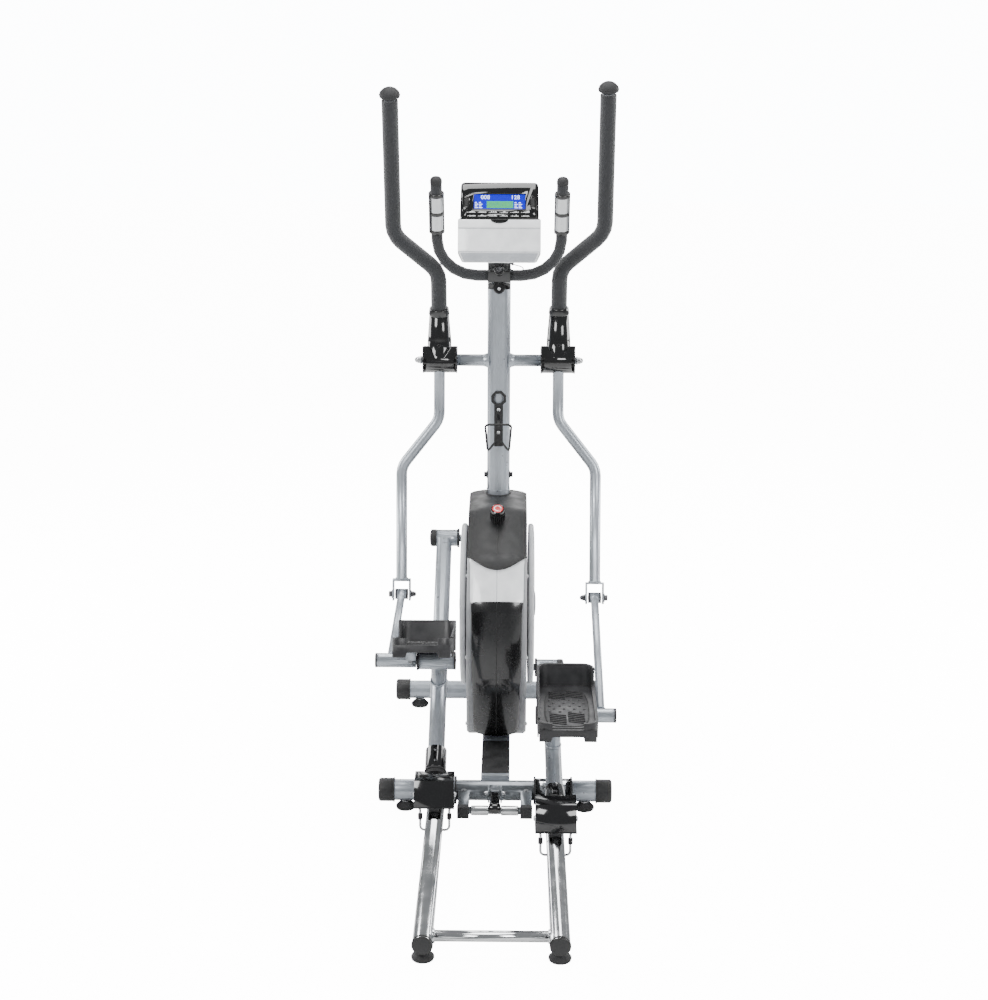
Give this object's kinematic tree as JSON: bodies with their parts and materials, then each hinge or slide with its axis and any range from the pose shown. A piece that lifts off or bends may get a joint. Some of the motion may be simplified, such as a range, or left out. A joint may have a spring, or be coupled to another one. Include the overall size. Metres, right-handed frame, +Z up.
{
  "type": "elliptical trainer",
  "caption": "Upright elliptical trainer with swinging handles, foot plates on roller rails behind a front casing, and a small console on a mast.",
  "frame": {"origin": "on the floor under the middle stabiliser, which is the centre of the footprint", "axes": "+X to the user's right, +Y the way the user faces, +Z up"},
  "size_m": [0.589, 1.57, 1.7156],
  "materials": {
    "silver_paint": "satin silver powder coat",
    "chrome_plate": "bright chrome",
    "bare_steel": "turned steel",
    "cast_iron": "painted cast iron",
    "gloss_black": "gloss",
    "matte_black": "fine texture",
    "foam_black": "closed-cell foam",
    "grey_plastic": "satin",
    "pale_plastic": "gloss",
    "black_rubber": "matte",
    "display": "clear gloss"
  },
  "bodies": {
    "root": {"base_frame": "silver_paint", "middle_stabiliser": "silver_paint", "front_stabiliser": "silver_paint", "rail_frame": "chrome_plate", "mast": "silver_paint", "bottle_cage": "matte_black", "pulse_bar": "foam_black", "pulse_sensor_left": "chrome_plate", "pulse_sensor_right": "chrome_plate", "bar_clamp": "gloss_black", "pulse_wire": "black_rubber", "console_body": "pale_plastic", "console_bezel": "gloss_black", "console_screen": "display", "casing_left": "grey_plastic", "casing_right": "grey_plastic", "nose_cover": "gloss_black", "pale_panel": "pale_plastic", "top_cover": "matte_black", "drive_belt": "black_rubber", "middle_cap_left": "matte_black", "front_cap_left": "matte_black", "rail_cap_left": "matte_black", "middle_cap_right": "matte_black", "front_cap_right": "matte_black", "rail_cap_right": "matte_black"},
    "middle_foot_left": {"middle_foot_left": "black_rubber"},
    "front_foot_left": {"front_foot_left": "black_rubber"},
    "rail_foot_left": {"rail_foot_left": "black_rubber"},
    "middle_foot_right": {"middle_foot_right": "black_rubber"},
    "front_foot_right": {"front_foot_right": "black_rubber"},
    "rail_foot_right": {"rail_foot_right": "black_rubber"},
    "latch_lever": {"latch_lever": "matte_black"},
    "tension_knob": {"tension_knob": "matte_black"},
    "console_key_left": {"console_key_left": "matte_black"},
    "console_key_right": {"console_key_right": "matte_black"},
    "crank": {"crank_axle": "bare_steel", "crank_disc_left": "grey_plastic", "crank_disc_right": "grey_plastic"},
    "flywheel": {"flywheel": "cast_iron"},
    "transport_wheel_left": {"transport_wheel_left": "matte_black"},
    "transport_wheel_right": {"transport_wheel_right": "matte_black"},
    "arm_left": {"swing_arm_left": "silver_paint", "arm_cover_left": "gloss_black", "hand_grip_left": "foam_black", "grip_cap_left": "black_rubber"},
    "carriage_left": {"carriage_left": "gloss_black"},
    "roller_left": {"roller_left": "black_rubber"},
    "tube_left": {"pedal_tube_left": "silver_paint"},
    "pedal_left": {"link_rod_left": "silver_paint", "pedal_left": "matte_black"},
    "arm_right": {"swing_arm_right": "silver_paint", "arm_cover_right": "gloss_black", "hand_grip_right": "foam_black", "grip_cap_right": "black_rubber"},
    "carriage_right": {"carriage_right": "gloss_black"},
    "roller_right": {"roller_right": "black_rubber"},
    "tube_right": {"pedal_tube_right": "silver_paint"},
    "pedal_right": {"link_rod_right": "silver_paint", "pedal_right": "matte_black"}
  },
  "joints": [
    {"name": "middle_foot_left_turn", "type": "hinge", "parent": "root", "child": "middle_foot_left", "pos_m": [-0.217, 0, 0], "axis": [0, 0, 1], "range_deg": [-180, 180]},
    {"name": "front_foot_left_turn", "type": "hinge", "parent": "root", "child": "front_foot_left", "pos_m": [-0.217, 0.703, 0], "axis": [0, 0, 1], "range_deg": [-180, 180]},
    {"name": "rail_foot_left_turn", "type": "hinge", "parent": "root", "child": "rail_foot_left", "pos_m": [-0.14, -0.755, 0], "axis": [0, 0, 1], "range_deg": [-180, 180]},
    {"name": "middle_foot_right_turn", "type": "hinge", "parent": "root", "child": "middle_foot_right", "pos_m": [0.217, 0, 0], "axis": [0, 0, 1], "range_deg": [-180, 180]},
    {"name": "front_foot_right_turn", "type": "hinge", "parent": "root", "child": "front_foot_right", "pos_m": [0.217, 0.703, 0], "axis": [0, 0, 1], "range_deg": [-180, 180]},
    {"name": "rail_foot_right_turn", "type": "hinge", "parent": "root", "child": "rail_foot_right", "pos_m": [0.14, -0.755, 0], "axis": [0, 0, 1], "range_deg": [-180, 180]},
    {"name": "latch_lever_lift", "type": "hinge", "parent": "root", "child": "latch_lever", "pos_m": [0, -0.044, 0.0586], "axis": [-1, 0, 0], "range_deg": [0, 35]},
    {"name": "tension_knob_turn", "type": "hinge", "parent": "root", "child": "tension_knob", "pos_m": [0, 0.4106, 0.61725], "axis": [0, -0.5103, 0.86], "range_deg": [0, 270]},
    {"name": "console_key_left_press", "type": "slide", "parent": "root", "child": "console_key_left", "axis": [0, 0.9063, -0.4226], "range_m": [0, 0.0015], "stiffness_N_per_m": 300},
    {"name": "console_key_right_press", "type": "slide", "parent": "root", "child": "console_key_right", "axis": [0, 0.9063, -0.4226], "range_m": [0, 0.0015], "stiffness_N_per_m": 300},
    {"name": "crank_spin", "type": "hinge", "parent": "root", "child": "crank", "pos_m": [0, 0.49, 0.368], "axis": [1, 0, 0], "continuous": true},
    {"name": "flywheel_spin", "type": "hinge", "parent": "root", "child": "flywheel", "pos_m": [0, 0.655, 0.33], "axis": [1, 0, 0], "continuous": true},
    {"name": "transport_wheel_left_spin", "type": "hinge", "parent": "root", "child": "transport_wheel_left", "pos_m": [-0.15, 0.759, 0.03], "axis": [1, 0, 0], "continuous": true},
    {"name": "transport_wheel_right_spin", "type": "hinge", "parent": "root", "child": "transport_wheel_right", "pos_m": [0.15, 0.759, 0.03], "axis": [1, 0, 0], "continuous": true},
    {"name": "left_arm_swing", "type": "hinge", "parent": "root", "child": "arm_left", "pos_m": [0, 0.59, 1], "axis": [1, 0, 0], "range_deg": [0, 13.06]},
    {"name": "left_carriage_roll", "type": "slide", "parent": "root", "child": "carriage_left", "axis": [0, 1, 0], "range_m": [0, 0.08828]},
    {"name": "left_roller_spin", "type": "hinge", "parent": "carriage_left", "child": "roller_left", "pos_m": [0, -0.16183, 0.105], "axis": [1, 0, 0], "range_deg": [-126.5, 0]},
    {"name": "left_tube_pitch", "type": "hinge", "parent": "carriage_left", "child": "tube_left", "pos_m": [0, -0.16183, 0.105], "axis": [1, 0, 0], "range_deg": [-14.58, 0]},
    {"name": "left_pedal_tilt", "type": "hinge", "parent": "tube_left", "child": "pedal_left", "pos_m": [0, 0.04081, 0.36405], "axis": [1, 0, 0], "range_deg": [0, 21.45]},
    {"name": "right_arm_swing", "type": "hinge", "parent": "root", "child": "arm_right", "pos_m": [0, 0.59, 1], "axis": [1, 0, 0], "range_deg": [-18.43, 0]},
    {"name": "right_carriage_roll", "type": "slide", "parent": "root", "child": "carriage_right", "axis": [0, 1, 0], "range_m": [-0.13756, 0]},
    {"name": "right_roller_spin", "type": "hinge", "parent": "carriage_right", "child": "roller_right", "pos_m": [0, -0.2924, 0.105], "axis": [1, 0, 0], "range_deg": [0, 197.26]},
    {"name": "right_tube_pitch", "type": "hinge", "parent": "carriage_right", "child": "tube_right", "pos_m": [0, -0.2924, 0.105], "axis": [1, 0, 0], "range_deg": [0, 13.34]},
    {"name": "right_pedal_tilt", "type": "hinge", "parent": "tube_right", "child": "pedal_right", "pos_m": [0, 0.00786, 0.23922], "axis": [1, 0, 0], "range_deg": [-11.62, 0]}
  ],
  "couplings": [
    {"joint": "flywheel_spin", "follows": "crank_spin", "ratio": 6},
    {"joint": "left_carriage_roll", "follows": "left_arm_swing", "m_per_rad": 0.38651},
    {"joint": "left_roller_spin", "follows": "left_arm_swing", "ratio": -9.687},
    {"joint": "left_tube_pitch", "follows": "left_arm_swing", "ratio": -1.115},
    {"joint": "left_pedal_tilt", "follows": "left_arm_swing", "ratio": 1.6411},
    {"joint": "right_arm_swing", "follows": "left_arm_swing", "ratio": -1.4097},
    {"joint": "right_carriage_roll", "follows": "left_arm_swing", "m_per_rad": -0.60276},
    {"joint": "right_roller_spin", "follows": "left_arm_swing", "ratio": 15.107},
    {"joint": "right_tube_pitch", "follows": "left_arm_swing", "ratio": 1.0203},
    {"joint": "right_pedal_tilt", "follows": "left_arm_swing", "ratio": -0.88816}
  ]
}
